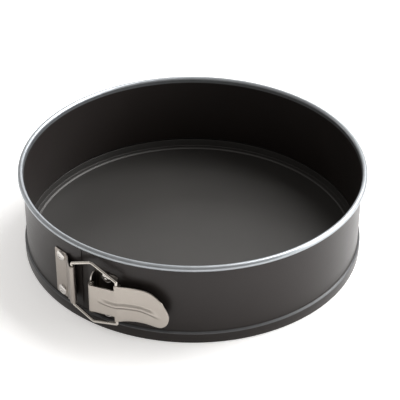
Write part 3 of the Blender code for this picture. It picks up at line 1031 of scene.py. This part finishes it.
lever = pressed_sheet("lever_pressed", fold_grid + tongue_grid + grip_grid, LATCH_SHEET, lever_steel,
                      beside_tongue, sheared_steel_highlight)
# Painted shade along the rib's sharp lower side, kept on each point for the lever's material.
rib_shade_marks = lever.data.attributes.new("rib_shade", "FLOAT", "POINT")
for vertex, mark in zip(lever.data.vertices, rib_shade_marks.data):
    x, y, z = vertex.co
    mark.value = rib_shade_mask(degrees(atan2(x, -y)), z - LATCH_Z)
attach(lever, "thumb_lever")
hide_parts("lever")
print("lever cells:", len(lever.data.polygons))

# %% Ears
EAR_DEPTH = 2.9 * MM
EAR_FROM = 0.25 * MM
EAR_LENGTH = 1.6
EAR_INSET = 0.04 * MM


def ear_columns(z):
    """The middle surface of one ear, level at this height, from the lever's sheet in towards the pan."""
    bearings = rows_between(EAR_BEARING, EAR_BEARING + EAR_LENGTH, 8)
    depths = rows_between(EAR_FROM, EAR_DEPTH, 6)
    return [[at_bearing(lever_radius(b) - depth, b, z) for depth in depths] for b in bearings]


for side, row in ((1, "upper"), (-1, "lower")):
    ear_z = LATCH_Z + side * (EAR_HALF - LATCH_SHEET / 2 - EAR_INSET)
    ear = pressed_sheet(f"lever_ear_{row}", ear_columns(ear_z), LATCH_SHEET, lever_steel)
    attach(ear, "thumb_lever")
print("last ear at height in mm:", round(ear_z / MM, 1))

# %% [markdown]
# ## The bail
# One 2.4 mm wire. Its straight run turns in the hook plate's curl, then each end goes out, bends, comes
# back and hooks into an ear of the lever. Pulling the lever round drags this wire, and with it the left
# end of the band. A curve with a round bevel is a wire already.

# %% Bail line
BAIL_HOOK = Vector((34.1 * MM, 132.8 * MM))
BEND_X = 12.6 * MM
LOWER_HALVES = (17.9 * MM, 26.0 * MM)
UPPER_HALVES = (19.0 * MM, 27.2 * MM)
HOOK_HALF = 18.9 * MM
TIP_HALF = 14.3 * MM
WIRE_BENDS = (2.0 * MM, 4.0 * MM, 1.3 * MM)
bend_plan = BAIL_HINGE.lerp(BAIL_HOOK, (BEND_X - BAIL_HINGE.x) / (BAIL_HOOK.x - BAIL_HINGE.x))


def half_wire(hinge_half, bend_half):
    """From the middle of the straight run to a tip, with each bend rounded."""
    corners = [in_front(BAIL_HINGE, 0), in_front(BAIL_HINGE, hinge_half), in_front(bend_plan, bend_half),
               in_front(BAIL_HOOK, HOOK_HALF), in_front(BAIL_HOOK, TIP_HALF)]
    return rounded(corners, WIRE_BENDS, 10)[1:]


lower_run = [Vector((p.x, p.y, -p.z)) for p in half_wire(*LOWER_HALVES)]
wire_path = lower_run[::-1] + half_wire(*UPPER_HALVES)
print("wire length in mm:", round(path_length(wire_path) / MM))

# %% Bail
curve = bpy.data.curves.new("bail_wire_bent", "CURVE")
curve.dimensions = "3D"
curve.bevel_depth = WIRE_RADIUS
curve.bevel_resolution = 6
curve.use_fill_caps = True
curve.materials.append(wire_steel)
spline = curve.splines.new("POLY")
spline.points.add(len(wire_path) - 1)
for point, spot in zip(spline.points, wire_path):
    point.co = (spot.x, spot.y, spot.z + LATCH_Z, 1)
bail = bpy.data.objects.new("bail_wire_bent", curve)
bpy.context.scene.collection.objects.link(bail)
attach(bail, "bail")
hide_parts("bail_wire")
print("points along the wire:", len(spline.points))

# %% [markdown]
# ## The table
# A plain pale light table, large enough that its edge is never seen. It glows a little, which softens the
# shadow under the pan and gives the upright walls something bright to reflect. A little unevenness in its
# tone and gloss keeps it from looking like a hole in the picture.

# %% Table
TABLE_GLOW = 0.41
TABLE_WARMTH = (1, 0.99, 0.98, 1)
TABLE_DULL = (0.88, 0.88, 0.88, 1)
TABLE_BRIGHT = (0.92, 0.92, 0.92, 1)
TABLE_HALF = 8.0
TABLE_DROP = 0.1 * MM


def table_finish():
    glow = {"Emission Color": TABLE_WARMTH, "Emission Strength": TABLE_GLOW}
    finish = Finish("pale_table", {"Specular IOR Level": 0.2, **glow})
    place = finish.place()
    cloud = finish.noise(place, 3.0, 3.0, 0.5)
    grain = finish.noise(place, 700.0, 2.0, 0.5)
    finish.drive(base_color=finish.blend(cloud, TABLE_DULL, TABLE_BRIGHT),
                 roughness=0.75 + grain * 0.15, normal=finish.bump(grain, 0.00004))
    return finish.material


table_signs = ((-1, -1), (1, -1), (1, 1), (-1, 1))
table_corners = [Vector((x * TABLE_HALF, y * TABLE_HALF, -TABLE_DROP)) for x, y in table_signs]
table = add_piece("pale_table", table_corners, [(0, 1, 2, 3)], table_finish())
print("table side in m:", 2 * TABLE_HALF)
